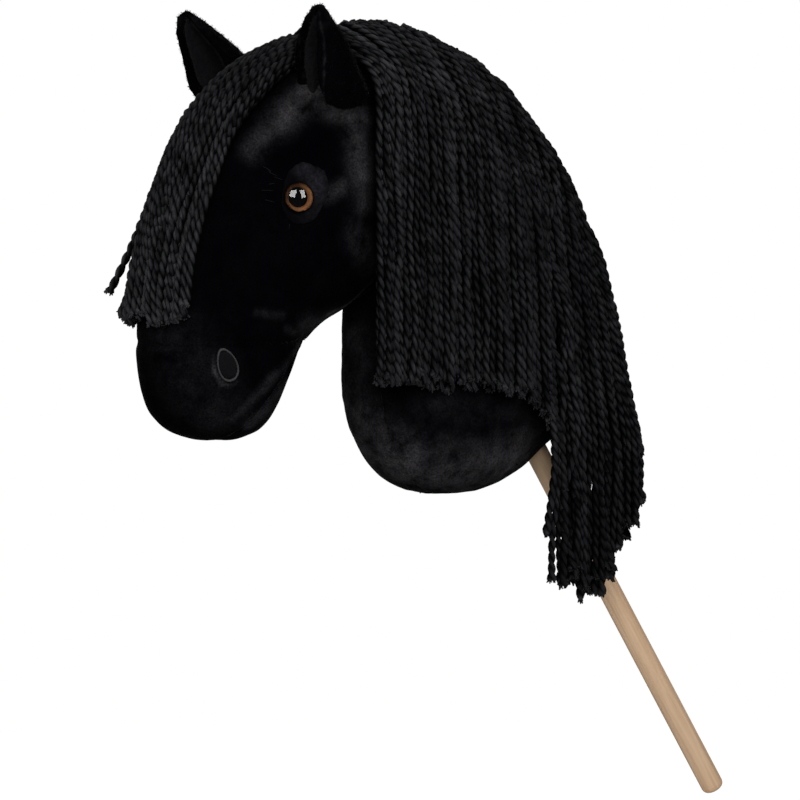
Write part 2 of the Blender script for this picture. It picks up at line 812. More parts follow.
def shaped_ear(bm, side):
    """Ripples an ear, draws its foot down, bends and widens it and blunts its tip."""
    for vert in bm.verts:
        vert.co += vert.normal * EAR_RIPPLE * noise.noise(vert.co * 210)
        drawn = eased(fallen(vert.co.z, EAR_DRAW_HEIGHTS))
        vert.co.z += profile(EAR_DRAW, left_across(vert.co)) * drawn
        from_middle = (vert.co - VIEW_TARGET).dot(PICTURE_RIGHT) - STRETCH_MIDDLE[side]
        stretch = EAR_STRETCH * (1 - fallen(vert.co.z, STRETCH_HEIGHTS))
        vert.co += PICTURE_RIGHT * (profile(EAR_BEND[side], vert.co.z) + stretch * from_middle)
        vert.co.z -= EAR_BLUNT[side] * (1 - fallen(vert.co.z, BLUNT_HEIGHTS))


print("ears drawn down by up to", min(drop for _, drop in EAR_DRAW))

# %% Make the tufts of pile
TUFTS = 3400
TUFT_LENGTH = 0.0025
TUFT_RADIUS = 0.00030
CAP_GAP = 0.000001


def new_tube(name, radius, resolution):
    """An empty curve that becomes closed tubes of the radius."""
    curve = bpy.data.curves.new(name, "CURVE")
    curve.dimensions = "3D"
    curve.bevel_depth = radius
    curve.bevel_resolution = resolution
    curve.use_fill_caps = True
    return curve


def add_run(curve, points, radii):
    spline = curve.splines.new("POLY")
    spline.points.add(len(points) - 1)
    spline.points.foreach_set("co", [number for point in points for number in (*point, 1.0)])
    spline.points.foreach_set("radius", radii)


def mesh_of(curve):
    """The tubes of a curve as one mesh, with their caps still loose."""
    work = bpy.data.objects.new("winding", curve)
    bpy.context.collection.objects.link(work)
    mesh = bpy.data.meshes.new_from_object(
        work.evaluated_get(bpy.context.evaluated_depsgraph_get())
    )
    bpy.data.objects.remove(work)
    return mesh


def closed_bm(mesh):
    """A mesh of tubes as a bmesh, with the caps joined to the tubes."""
    bm = bmesh.new()
    bm.from_mesh(mesh)
    bpy.data.meshes.remove(mesh)
    bmesh.ops.remove_doubles(bm, verts=bm.verts[:], dist=CAP_GAP)
    return bm


def add_pile(bm, chance):
    """Small spikes, rooted all over the shape and combed towards its tip."""
    bm.normal_update()
    faces = bm.faces[:]
    curve = new_tube("pile", TUFT_RADIUS, 0)
    for _ in range(TUFTS):
        face = chance.choice(faces)
        way = (face.normal + UP * 0.3).normalized()
        way = (way + Vector([chance.uniform(-0.5, 0.5) for _ in range(3)])).normalized()
        length = TUFT_LENGTH * chance.uniform(0.5, 1.1)
        root = face.calc_center_median() - way * length * 0.2
        add_run(curve, [root, root + way * length], [1.0, 0.15])
    spikes = closed_bm(mesh_of(curve))
    mesh = bpy.data.meshes.new("pile")
    spikes.to_mesh(mesh)
    spikes.free()
    bm.from_mesh(mesh)


print("an ear's piece gets", TUFTS, "tufts")

# %% Round the ears
FOLD_LINE = ((0.626, -0.0650), (0.645, -0.0640), (0.662, -0.0650), (0.678, -0.0685))
RIM_LINE = ((0.618, -0.0780), (0.624, -0.0815), (0.646, -0.0855), (0.668, -0.0865))
FOLD_SHINE = 0.24
RIM_SHINE = 0.18
TIP_SHINE = 0.12
FAR_EAR_SHARE = 0.2
LINE_WIDTH = 0.0012


def ear_nap(point):
    """The pile of an ear shines at its tip, and on the left one along the front fold and the rim."""
    across = left_across(point)
    patchy = max(0.0, 0.5 + noise.noise(point * 130))
    near = 1.0 if point.y < 0 else FAR_EAR_SHARE
    fold = FOLD_SHINE * near * bell(across - profile(FOLD_LINE, point.z), LINE_WIDTH)
    rim = RIM_SHINE * near * bell(across - profile(RIM_LINE, point.z), LINE_WIDTH)
    tip = TIP_SHINE * clamped((point.z - 0.660) / 0.025)
    return max(PILE_AT_REST, fold * patchy, rim * patchy, tip * patchy)


chance = random.Random(11)
for side in SIDES:
    for node, finish in ((f"ear_back_{side}", black_plush), (f"ear_lining_{side}", lining_plush)):
        leaf = remeshed(merged_copy(node), EAR_VOXEL)
        smoothed(leaf, EAR_SMOOTHINGS)
        let_out(leaf, tree_of(merged_copy(node)), EAR_EVENINGS)
        shaped_ear(leaf, side)
        add_pile(leaf, chance)
        add_piece(node + "_plush", leaf, finish, (node,), ear_nap)
print("ears rounded")

# %% [markdown]
# ## The yarn
#
# The mane is thick yarn of two plies twisted round each other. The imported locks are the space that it
# fills, so they are melted into one smooth form, and the strands run down in three layers under the
# form's surface. A strand starts at the crest, bends over the neck and hangs to its own end.

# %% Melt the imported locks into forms
LOCK_VOXEL = 0.0032
LOCK_SMOOTHINGS = 12
LOCK_SWELL = 0.0014


def lock_form(start_of_name):
    """The space of several packed locks as one form, swollen first so that their gaps close."""
    solids = merged_copy(*[node for node in slot_of if node.startswith(start_of_name)])
    solids.normal_update()
    for vert in solids.verts:
        vert.co += vert.normal * LOCK_SWELL
    form = remeshed(solids, LOCK_VOXEL)
    smoothed(form, LOCK_SMOOTHINGS)
    return tree_of(form)


mane_tree = lock_form("mane_lock")
forelock_tree = lock_form("forelock_lock")
print("forms melted")

# %% [markdown]
# The middle of each packed lock gives one cross-section: round the crest, then straight down. A strand
# between two locks takes the blend of their two sections, so the crest rises evenly from lock to lock.
# From here on a side is a sign: -1 is the left and 1 the right.

# %% Take a section of each lock
LOCKS = 9
MANE_FRONT = -0.4172
MANE_REAR = -0.1407
REAR_DRIFTS = {-1: 0.039, 1: 0.056}
DRIFT_HEIGHTS = (0.478, 0.308)
RIGHT_SWEEP = 0.076
SWEEP_HEIGHTS = (0.641, 0.431)
CREST_DEPTH = 0.060
CREST_CLEARANCE = 0.009
CREST_ANGLE = math.radians(8)
ROUND_ANGLE = math.radians(82)
ROUND_STEPS = 14
HANGING_STEP = 0.008
HANGING_STEPS = 58


def mane_x(share, height, side):
    """The place along the mane of a strand's share of it. The rear strands drift back as they fall."""
    moved = REAR_DRIFTS[side] * share**3 * fallen(height, DRIFT_HEIGHTS)
    if side > 0:
        moved += RIGHT_SWEEP * (1 - share) * eased(fallen(height, SWEEP_HEIGHTS))
    return MANE_FRONT + (MANE_REAR - MANE_FRONT) * share + moved


def lock_section(side, lock):
    """Points and normals (how far out, how high) on the outside of a lock's middle."""
    share = (lock + 0.5) / LOCKS
    above = Vector((mane_x(share, FAR_OUT, side), side * CREST_CLEARANCE, FAR_OUT))
    centre_height = mane_tree.ray_cast(above, -UP)[0].z - CREST_DEPTH
    found = []
    for number in range(1, ROUND_STEPS + 1):
        angle = CREST_ANGLE + ROUND_ANGLE * number / ROUND_STEPS
        x = mane_x(share, found[-1][0].y if found else FAR_OUT, side)
        way = Vector((0.0, side * math.sin(angle), math.cos(angle)))
        start = Vector((x, 0.0, centre_height)) + way * FAR_OUT
        hit, normal = mane_tree.ray_cast(start, -way)[:2]
        slope = Vector((normal.y * side, normal.z)).normalized()
        found.append((Vector((hit.y * side, hit.z)), slope))
    found.insert(0, (Vector((0.0, found[0][0].y + 0.001)), Vector((0.0, 1.0))))
    height = centre_height
    for _ in range(HANGING_STEPS):
        height -= HANGING_STEP
        start = Vector((mane_x(share, height, side), side * FAR_OUT, height))
        hit = mane_tree.ray_cast(start, Vector((0.0, -side, 0.0)))[0]
        out = hit.y * side if hit and hit.y * side > 0 else found[-1][0].x
        found.append((Vector((out, height)), Vector((1.0, 0.0))))
    return found


sections = {side: [lock_section(side, lock) for lock in range(LOCKS)] for side in SIDES.values()}
print(len(sections[-1]), "sections a side, with", len(sections[-1][0]), "points each")

# %% Find where a strand of the mane hangs
CREST_LAG = 0.075
CREST_RISE = 0.003
REAR_RISES = ((0.0, 0.0), (0.55, 0.0054), (0.68, 0.0086), (1.0, 0.0117))


def hanging_path(side, share, end, depth):
    """Points from the crest round the side of the neck and down to a free end."""
    points = []
    for number in range(len(sections[side][0])):
        settled = eased(min(number / ROUND_STEPS, 1.0))
        here = share - CREST_LAG * (1 - settled)
        place = max(here * LOCKS - 0.5, -0.6)
        first = clamped(int(place), 0, LOCKS - 2)
        blend = place - first
        near, far = sections[side][first][number], sections[side][first + 1][number]
        outside = near[0] + (far[0] - near[0]) * blend
        slope = near[1] + (far[1] - near[1]) * clamped(blend)
        rise = CREST_RISE * (1 - settled) + profile(REAR_RISES, here) * (1 - settled**2)
        out, height = outside - slope.normalized() * (depth - rise)
        if height < end:
            break
        points.append(Vector((mane_x(here, height, side), side * out, height)))
    return points


def mane_crest(x):
    """The height of the crest at a place along the mane."""
    share = (x - MANE_FRONT) / (MANE_REAR - MANE_FRONT)
    place = clamped(share * LOCKS - 0.5, 0.0, LOCKS - 1.001)
    first = int(place)
    low, high = (sections[-1][lock][0][0].y for lock in (first, first + 1))
    return low + (high - low) * (place - first)


print("the first strand has", len(hanging_path(-1, 0.02, 0.360, 0.003)), "points")

# %% [markdown]
# A ply is a curve that winds round its strand's path. Both plies of a strand wind the same way, half a
# turn apart, so their strokes slant down to the rear as in the photograph. The strand wanders a
# little, and its cut end opens into a small tuft of fibres. The wandering comes from noise vectors,
# which change from run to run unless their seed is set.

# %% Let a path wander
FREE_AFTER = 24
SLOW_PACE = 0.035
QUICK_PACE = 0.16
UNEVENNESS = 0.0006

noise.seed_set(4)


def even_steps(points, step):
    """The same path with its points a step apart."""
    made = [points[0]]
    carried = 0.0
    for before, after in zip(points, points[1:]):
        run = (after - before).length
        while carried + run >= step:
            before = before + (after - before) * ((step - carried) / run)
            made.append(before)
            run = (after - before).length
            carried = 0.0
        carried += run
    return made


def relaxed(points, times):
    for _ in range(times):
        middle = [(a + b * 2 + c) / 4 for a, b, c in zip(points, points[1:], points[2:])]
        points = [points[0]] + middle + [points[-1]]
    return points


def wandering(path, across, chance, reach):
    """The path with the slow sway and the fine unevenness that loose yarn has."""
    seed = chance.uniform(0, 100)
    lean = chance.uniform(-1, 1) * reach
    made = []
    for number, point in enumerate(path):
        freedom = min(number / FREE_AFTER, 1.0)
        along = number / max(len(path) - 1, 1)
        slow = noise.noise_vector(Vector((seed, number * SLOW_PACE, 0.0)))
        quick = noise.noise_vector(Vector((seed, number * QUICK_PACE, 5.0)))
        sway = across * (slow.x * 2.2 * reach + lean * along)
        sway = sway + slow * 0.5 * reach + quick * UNEVENNESS
        made.append(point + sway * freedom)
    return made


print("a strand is free after", FREE_AFTER, "steps")

# %% Twist two plies round a path
PLY_RADIUS = 0.0021
PLY_OFFSET = 0.0014
TWIST_PITCH = 0.0195
STEPS_PER_TURN = 8
OPEN_STEPS = 4
TUFT_FIBRES = 7
CROWN = 0.0032

cores = {}


def add_spline(curve, points, radii, core=None, tone=1.0, wound=False):
    """A new run of the curve. The core that it winds round and its tone are kept for its shading."""
    cores.setdefault(curve.name, []).extend((place, tone, wound) for place in core or points)
    add_run(curve, points, radii)


def add_tuft(curve, tip, heading, chance, tone):
    for _ in range(TUFT_FIBRES):
        stray = Vector([chance.uniform(-1, 1) for _ in range(3)])
        root = tip - heading * 0.0020 + stray * 0.0007
        middle = tip + heading * 0.0006 + stray * 0.0012
        end = middle + heading * chance.uniform(0.0004, 0.0018) + stray * 0.0010
        core = [tip - heading * CROWN] * 3
        add_spline(curve, [root, middle, end], [0.48, 0.42, 0.22], core, tone)


def twist_yarn(curve, path, across, chance, reach=0.0016):
    """Two plies wound round the path, with a small tuft at its lower end."""
    path = even_steps(relaxed(path, 6), TWIST_PITCH / STEPS_PER_TURN)
    path = wandering(path, across, chance, reach)
    seed = chance.uniform(0, 100)
    plump = chance.uniform(0.90, 1.12)
    tone = chance.uniform(0.62, 1.12)
    turn = chance.uniform(0, 2 * math.pi)
    last = len(path) - 1
    plies = ([], [])
    radii = []
    for number, point in enumerate(path):
        along = (path[min(number + 1, last)] - path[max(number - 1, 0)]).normalized()
        first = (across - along * across.dot(along)).normalized()
        second = first.cross(along)
        opened = max(0.0, 1 - (last - number) / OPEN_STEPS)
        out = PLY_OFFSET * plump * (1 + 0.5 * opened)
        tightness = 1 + 0.35 * noise.noise(Vector((seed, number * 0.06, 7.0)))
        turn -= 2 * math.pi / STEPS_PER_TURN * tightness
        reach_out = (first * math.sin(turn) + second * math.cos(turn)) * out
        plies[0].append(point + reach_out)
        plies[1].append(point - reach_out)
        swell = 1 + 0.12 * noise.noise(Vector((seed, number * 0.25, 3.0))) + 0.16 * opened
        radii.append(plump * swell)
    for ply in plies:
        add_spline(curve, ply, radii, path, tone, wound=True)
        add_tuft(curve, ply[-1], (ply[-1] - ply[-4]).normalized(), chance, tone)


print("a strand is", round((PLY_RADIUS + PLY_OFFSET) * 2000, 1), "mm thick")

# %% [markdown]
# A wound curve becomes a mesh piece. Each of its points keeps how bright it is: the crown of a ply
# catches the light, the crease between the plies doesn't, and a strand's flanks lie in the shadow of
# the yarn beside it. A renderer can't find that shadow well between thin black strands.

# %% Turn a winding into a piece
CREASE = 0.0019
FLANK = (-0.05, 0.85)
FALLOFF = 1.5


def yarn_piece(curve, finish, replaces, light_at=None, outward_at=None):
    mesh = mesh_of(curve)
    core = cores[curve.name]
    ring = 4 + 2 * curve.bevel_resolution
    in_caps = len(mesh.vertices) - ring * len(core)
    crowns = [1.0] * in_caps
    for number, vert in enumerate(mesh.vertices[in_caps:]):
        place, tone, wound = core[number // ring]
        out = vert.co - place
        crown = tone * clamped((out.length - CREASE) / (CROWN - CREASE))
        if light_at:
            crown *= light_at(place)
        if wound and outward_at:
            facing = out.dot(outward_at(place)) / CROWN
            crown *= clamped((facing - FLANK[0]) / (FLANK[1] - FLANK[0])) ** FALLOFF
        crowns.append(crown)
    paint_points(mesh, "crown", crowns)
    return add_piece(curve.name, closed_bm(mesh), finish, replaces)


print("a ply's crown is", round((CROWN - CREASE) * 1000, 1), "mm above its crease")

# %% Mix the yarn finish
black_yarn, tree, shader = new_material("black_yarn", {"Specular IOR Level": 0.045})
around = add_node(tree, "UVMap", uv_map="UVMap").outputs["UV"]
stretched = add_node(tree, "Mapping", {"Vector": around, "Scale": (40.0, 9.0, 1.0)}).outputs[0]
hairs = speckle(tree, stretched, 1.0, detail=3.0)
dye = speckle(tree, object_place(tree), 70.0)
dyed = ranged(tree, calculated(tree, "ADD", hairs, dye), 0.7, 1.3, 0.15, 1.35)
crown = painted(tree, "crown")
raised = calculated(tree, "MULTIPLY", crown, dyed, use_clamp=True)
tone = mix(tree, raised, (0.0005, 0.0005, 0.0008, 1.0), (0.050, 0.050, 0.055, 1.0))
tree.links.new(tone, shader.inputs["Base Color"])
tree.links.new(ranged(tree, crown, 0.2, 0.9, 1.0, 0.42), shader.inputs["Roughness"])
bumped(tree, shader, hairs, 0.5, 0.0005)
print("yarn", black_yarn.name)

# %% [markdown]
# Nine locks a side make the mane. The rear ones are the hank: their strands hang free far below the
# neck, so they get more layers. Most strands fall where chance puts them. The few that stand apart
# in the photograph are led through places of their own, as (height, how far right in the picture).

# %% Set out the mane
LAYERS = ((0.0105, 5), (0.0062, 5), (0.0022, 4))
HANK_LAYERS = ((0.0120, 6), (0.0075, 6), (0.0024, 6))
HANK_SHARE = 0.66
MANE_ENDS = {
    -1: (
        (0.0, 0.362), (0.40, 0.361), (0.60, 0.350), (0.655, 0.330), (0.693, 0.328),
        (0.700, 0.180), (0.86, 0.178), (0.92, 0.205), (1.0, 0.250),
    ),
    1: ((0.0, 0.362), (0.90, 0.352), (0.93, 0.205), (1.0, 0.216)),
}
MANE_LIGHT = ((0.20, 0.45), (0.30, 0.51), (0.34, 0.74), (0.45, 0.56), (0.60, 0.74), (0.66, 0.92))
MANE_SHADE = ((-0.42, 1.12), (-0.36, 0.95), (-0.30, 0.74), (-0.15, 0.82))
LED_STRANDS = (
    (0.668, 0.004, (
        (0.2290, 0.1263), (0.2469, 0.1295), (0.2625, 0.1307), (0.2773, 0.1349), (0.3156, 0.1360),
    )),
    (0.670, 0.006, (
        (0.1869, 0.1325), (0.2040, 0.1307), (0.2162, 0.1331), (0.2247, 0.1307), (0.2369, 0.1319),
        (0.2491, 0.1367), (0.2625, 0.1349), (0.2773, 0.1388), (0.3017, 0.1395),
    )),
    (0.676, 0.009, (
        (0.1869, 0.1410), (0.1981, 0.1378), (0.2103, 0.1408), (0.2225, 0.1394), (0.2408, 0.1376),
        (0.2921, 0.1410),
    )),
    (0.684, 0.004, (
        (0.1850, 0.1432), (0.1981, 0.1418), (0.2286, 0.1447), (0.2408, 0.1441), (0.2625, 0.1449),
        (0.2821, 0.1424), (0.3017, 0.1440),
    )),
    (0.880, 0.004, ((0.1942, 0.1886), (0.2112, 0.1825), (0.2286, 0.1801))),
    (0.985, 0.003, ((0.2960, 0.2128), (0.3026, 0.2120), (0.3243, 0.2082))),
    (0.990, 0.006, ((0.2525, 0.2178), (0.2640, 0.2118), (0.2721, 0.2092), (0.2895, 0.2062))),
)
LED_LENGTH = 0.03


def mane_light(place):
    return profile(MANE_LIGHT, place.z) * profile(MANE_SHADE, place.x)


def mane_outward(place):
    """The way out of the mane: up at the crest, and sideways below it."""
    height = max(0.0, place.z - (mane_crest(place.x) - CREST_DEPTH))
    return Vector((0.0, place.y, height)).normalized()


def led(path, way):
    """The path with its lower part led through places of (height, across the photograph)."""
    for point in path:
        share = fallen(point.z, (way[-1][0] + LED_LENGTH, way[-1][0]))
        across = profile(way, point.z) - PICTURE_RIGHT.y * point.y
        point.x += (VIEW_TARGET.x + across / PICTURE_RIGHT.x - point.x) * share
    return path


print(len(LED_STRANDS), "led strands")

# %% Lay one strand of the mane
LOOSE_SHARES = {-1: (0.693, 0.740), 1: (0.880, 0.925)}
LOOSE_END = 0.324
LOOSE_REACH = 0.0060
USUAL_REACH = 0.0020
SHORT_ABOVE = 0.3
SHORT_RAGGED = 0.008
LONG_RAGGED = 0.018
BUNDLES = 55.0
BUNDLE_DEPTH = 0.007
REAR_FLICK = 0.005
REAR_FLICK_LENGTH = 0.08


def mane_strand(side, share, depth, chance):
    """The path of a strand that chance has put at a share of the mane, and how far it may sway."""
    end = profile(MANE_ENDS[side], share)
    reach = USUAL_REACH
    if LOOSE_SHARES[side][0] < share < LOOSE_SHARES[side][1]:
        reach = LOOSE_REACH
        if depth > 0.004 or side > 0 or chance.random() < 0.2:
            end = LOOSE_END
    ragged = SHORT_RAGGED if end > SHORT_ABOVE else LONG_RAGGED
    end += chance.uniform(-0.5, 1.0) * ragged
    bundle = max(0.0, noise.noise(Vector((share * BUNDLES, side, 0.0))))
    under = depth + chance.uniform(-0.0010, 0.0014) + BUNDLE_DEPTH * bundle
    path = hanging_path(side, share, end, under)
    flick = REAR_FLICK * max(0.0, (share - 0.88) / 0.12) * chance.uniform(-0.3, 1.2)
    for point in path if end < SHORT_ABOVE else ():
        point.x += flick * max(0.0, 1 - (point.z - path[-1].z) / REAR_FLICK_LENGTH) ** 2
    return path, reach


print("strands sway by up to", LOOSE_REACH)

# %% Hang the mane
AWAY_FROM_FRONT = Vector((1.0, 0.0, 0.0))
LED_REACH = 0.0004

chance = random.Random(4)
strands = 0
for name, side in SIDES.items():
    for lock in range(LOCKS):
        curve = new_tube(f"mane_yarn_{name}_{lock + 1}", PLY_RADIUS, 1)
        for depth, count in HANK_LAYERS if (lock + 0.5) / LOCKS > HANK_SHARE else LAYERS:
            for number in range(count):
                share = (lock + (number + chance.uniform(0.1, 0.9)) / count) / LOCKS
                path, reach = mane_strand(side, share, depth, chance)
                twist_yarn(curve, path, AWAY_FROM_FRONT, chance, reach)
                strands += 1
        for share, depth, way in LED_STRANDS if side < 0 else ():
            if int(share * LOCKS) == lock:
                path = led(hanging_path(side, share, way[0][0], depth), way)
                twist_yarn(curve, path, AWAY_FROM_FRONT, chance, LED_REACH)
        packed = f"mane_lock_{name}_{lock + 1}"
        yarn_piece(curve, black_yarn, (packed,), mane_light, mane_outward)
print(strands, "strands in the mane")

# %% [markdown]
# The forelock is the same yarn, combed forward from the poll. Rays towards a point inside the head
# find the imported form's surface, degree by degree, and a strand lies on what they hit. Each strand
# flicks a little at its end, and the last one strays far forward.

# %% Find where a strand of the forelock lies
FORELOCK_FIT = (
    (0.50, 0.0030), (0.545, 0.0034), (0.575, -0.0012), (0.605, -0.0028), (0.635, 0.0), (0.655, 0.003),
)
FORELOCK_TOP = (-0.036, 0.030)
FORELOCK_SPREAD = (-0.045, 0.042)
FORELOCK_CENTRE = Vector((-0.430, 0.0, 0.500))
FORELOCK_START = -14
FORELOCK_STOP = 130
FORELOCK_FAN = 62
FORELOCK_LIGHT = ((0.44, 1.10), (0.56, 1.00), (0.62, 0.74), (0.65, 0.62))


def forelock_hit(across, way):
    """Where a ray meets the form, and how far inward it had to be moved to meet it from above."""
    for inward in (0.0, 0.006, 0.012, 0.018):
        beside = math.copysign(max(abs(across) - inward, 0.0), across)
        centre = FORELOCK_CENTRE + Vector((0.0, beside, 0.0))
        hit, normal = forelock_tree.ray_cast(centre + way * FAR_OUT, -way)[:2]
        if hit and normal.dot(way) > 0.3:
            return hit, inward
    return None, None


def forelock_path(share, end, depth):
    """Points from the poll forward over the forehead and down the nose."""
    points = []
    for degrees in range(FORELOCK_START, FORELOCK_STOP, 3):
        fanned = min((degrees - FORELOCK_START) / FORELOCK_FAN, 1.0) ** 0.7
        low = FORELOCK_TOP[0] + (FORELOCK_SPREAD[0] - FORELOCK_TOP[0]) * fanned
        high = FORELOCK_TOP[1] + (FORELOCK_SPREAD[1] - FORELOCK_TOP[1]) * fanned
        across = low + (high - low) * share
        angle = math.radians(degrees)
        way = Vector((-math.sin(angle), 0.0, math.cos(angle)))
        hit, inward = forelock_hit(across, way)
        if not hit:
            continue
        point = hit - way * (depth + inward * 0.25 + profile(FORELOCK_FIT, hit.z))
        point.y = across
        if point.z < end:
            break
        points.append(point)
    return points


def forelock_light(place):
    return profile(FORELOCK_LIGHT, place.z)


def forelock_outward(place):
    out = place - FORELOCK_CENTRE
    return Vector((out.x, out.y * 1.5, max(out.z, 0.0))).normalized()


print("a strand over the nose has", len(forelock_path(0.5, 0.400, 0.004)), "points")

# %% Comb the forelock over the nose
FORELOCK_LOCKS = 5
FORELOCK_LAYERS = ((0.0080, 3), (0.0040, 4), (0.0005, 3))
FORELOCK_ENDS = (
    (0.0, 0.420), (0.15, 0.411), (0.40, 0.403), (0.74, 0.396), (0.86, 0.400), (0.93, 0.409),
    (1.0, 0.418),
)
FORELOCK_REACH = 0.0022
FLICK_LENGTH = 0.085
STRAY_END = 0.440
STRAY_FLICK = 0.021
FLICK_WAY = Vector((-1.0, 0.25, 0.0))
ACROSS_HEAD = Vector((0.0, 1.0, 0.0))

strands = 0
for lock in range(FORELOCK_LOCKS):
    curve = new_tube(f"forelock_yarn_{lock + 1}", PLY_RADIUS, 1)
    for depth, count in FORELOCK_LAYERS:
        for number in range(count):
            share = (lock + (number + chance.uniform(0.15, 0.85)) / count) / FORELOCK_LOCKS
            end = profile(FORELOCK_ENDS, share) + chance.uniform(-0.004, 0.012)
            flick = chance.uniform(0.0, 0.008) * share + 0.007 * max(0.0, share * 5 - 4)
            if lock == FORELOCK_LOCKS - 1 and depth < 0.001 and number == count - 1:
                end, flick = STRAY_END, STRAY_FLICK
            path = forelock_path(share, end, depth)
            for point in path:
                loose = max(0.0, 1 - (point.z - path[-1].z) / FLICK_LENGTH)
                point += FLICK_WAY * flick * loose**2
            twist_yarn(curve, path, ACROSS_HEAD, chance, FORELOCK_REACH)
            strands += 1
    packed = f"forelock_lock_{lock + 1}"
    yarn_piece(curve, black_yarn, (packed,), forelock_light, forelock_outward)
print(strands, "strands in the forelock")

# %% [markdown]
# ## The eyes
#
# A toy's eye is a clear dome cast over a painted disc. The amber fades to brown at its rim. Each piece
# is spun from a short profile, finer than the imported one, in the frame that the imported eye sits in.

# %% Mix the eye finishes
CLEAR_VALUES = {
    "Base Color": grey(1.0), "Roughness": 0.03, "IOR": 1.45, "Transmission Weight": 1.0,
    "Coat Weight": 1.0, "Coat Roughness": 0.02, "Coat IOR": 1.65,
}
AMBER_RINGS = (
    (0.66, (0.40, 0.15, 0.05, 1.0)), (0.78, (0.78, 0.35, 0.145, 1.0)),
    (0.87, (0.62, 0.26, 0.10, 1.0)), (0.945, (0.02, 0.008, 0.004, 1.0)),
)

clear_eye = new_material("clear_eye", CLEAR_VALUES)[0]
black_eye, tree, shader = new_material("black_eye", {"Roughness": 0.8, "Specular IOR Level": 0.0})
dust = speckle(tree, object_place(tree), 400.0)
tree.links.new(mix(tree, dust, grey(0.0004), grey(0.0014)), shader.inputs["Base Color"])

amber_eye, tree, shader = new_material("amber_eye", {"Roughness": 0.7, "Specular IOR Level": 0.0})
ramp = add_node(tree, "ValToRGB", {"Fac": painted(tree, "rim")})
stops = ramp.color_ramp.elements
for number, (place, colour) in enumerate(AMBER_RINGS):
    stop = stops[number] if number < 2 else stops.new(place)
    stop.position = place
    stop.color = colour
amber = mix(tree, painted(tree, "foil"), (0.05, 0.018, 0.008, 1.0), ramp.outputs["Color"])
tree.links.new(amber, shader.inputs["Base Color"])
print("amber in", len(stops), "rings")

# %% Turn the eye's profiles
EYE_RADIUS = 0.0125
PUPIL_RADIUS = 0.0080
EYE_GAP = 0.0003
BACK_THICKNESS = 0.0015
DISC_THICKNESS = 0.0008
DOME_HEIGHT = 0.0052
DOME_STEPS = 12

disc_low = 2 * EYE_GAP + BACK_THICKNESS
disc_high = disc_low + DISC_THICKNESS
dome_low = disc_low - 0.0001
dome_foot = disc_high + EYE_GAP
dome_radius = EYE_RADIUS + 0.0002
ring_inside = PUPIL_RADIUS + 0.0001

dome = [(0.0, dome_low), (dome_radius, dome_low)]
for step in range(DOME_STEPS + 1):
    turn = math.radians(90 * step / DOME_STEPS)
    dome.append((dome_radius * math.cos(turn), dome_foot + DOME_HEIGHT * math.sin(turn)))
ring = [(ring_inside, disc_low), (ring_inside, disc_high)]
ring += [(EYE_RADIUS * share, disc_high) for share in (0.74, 0.80, 0.86, 0.91, 0.96, 1.0)]
ring += [(EYE_RADIUS, disc_low), (ring_inside, disc_low)]
pupil = [(0.0, disc_low), (PUPIL_RADIUS, disc_low), (PUPIL_RADIUS, disc_high), (0.0, disc_high)]
print("an eye's dome is", round((dome_foot + DOME_HEIGHT) * 1000, 1), "mm high")

# %% Spin the eyes
PUPIL_SHIFT = 0.0011
EYE_SHIFT = 0.0015
FOIL_TURN = math.radians(-42)
EYE_SEGMENTS = 64
SHARP = math.radians(40)


def eye_frame(side):
    """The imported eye's frame: its centre on the cover, with Z out along its axis."""
    disc = frame["nodes"][f"eye_ring_{side}"].data
    middle = sum((vert.co for vert in disc.vertices), Vector()) / len(disc.vertices)
    outward = (middle - middle_of(f"eye_washer_{side}")).normalized()
    return upright_frame(middle - outward * (disc_low + DISC_THICKNESS / 2), outward)


def spun(outline, segments):
    bm = bmesh.new()
    verts = [bm.verts.new((radius, 0.0, height)) for radius, height in outline]
    edges = [bm.edges.new(pair) for pair in zip(verts, verts[1:])]
    bmesh.ops.spin(
        bm, geom=verts + edges, cent=(0, 0, 0), axis=(0, 0, 1), dvec=(0, 0, 0),
        angle=2 * math.pi, steps=segments, use_merge=True,
    )
    bmesh.ops.remove_doubles(bm, verts=bm.verts[:], dist=CAP_GAP)
    bmesh.ops.recalc_face_normals(bm, faces=bm.faces[:])
    return bm


def refinish(node, finish):
    """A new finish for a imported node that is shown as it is."""
    frame["nodes"][node].data.materials.clear()
    frame["nodes"][node].data.materials.append(finish)


for side, sign in SIDES.items():
    placed = eye_frame(side) @ Matrix.Translation((sign * EYE_SHIFT, 0.0, 0.0))
    for node, outline, finish in (
        ("eye_dome", dome, clear_eye), ("eye_ring", ring, amber_eye), ("eye_pupil", pupil, black_eye)
    ):
        bm = spun(outline, EYE_SEGMENTS)
        reach = [vert.co.xy.length / EYE_RADIUS for vert in bm.verts]
        turns = [math.atan2(vert.co.y, -sign * vert.co.x) for vert in bm.verts]
        for vert in bm.verts if node != "eye_dome" else ():
            if vert.co.xy.length < PUPIL_RADIUS + 0.0002:
                vert.co.x += PUPIL_SHIFT * sign
        bmesh.ops.transform(bm, matrix=placed, verts=bm.verts[:])
        piece = add_piece(f"{node}_{side}_glossy", bm, finish, replaces=(f"{node}_{side}",))
        foil = [max(0.12, 0.59 + 0.59 * math.cos(turn - FOIL_TURN)) for turn in turns]
        paint_points(piece.data, "rim", reach)
        paint_points(piece.data, "foil", foil)
        piece.data.set_sharp_from_angle(angle=SHARP)
    refinish(f"eye_back_{side}", black_eye)
    refinish(f"eye_washer_{side}", black_eye)
print("eyes spun")

# %% [markdown]
# ## Felt, thread and wood
#
# A felt patch frames each eye, thread fills and borders each nostril, and the stick is planed beech.
# The grain is noise, drawn out along the stick, and the wood is darker where the mane shades it.

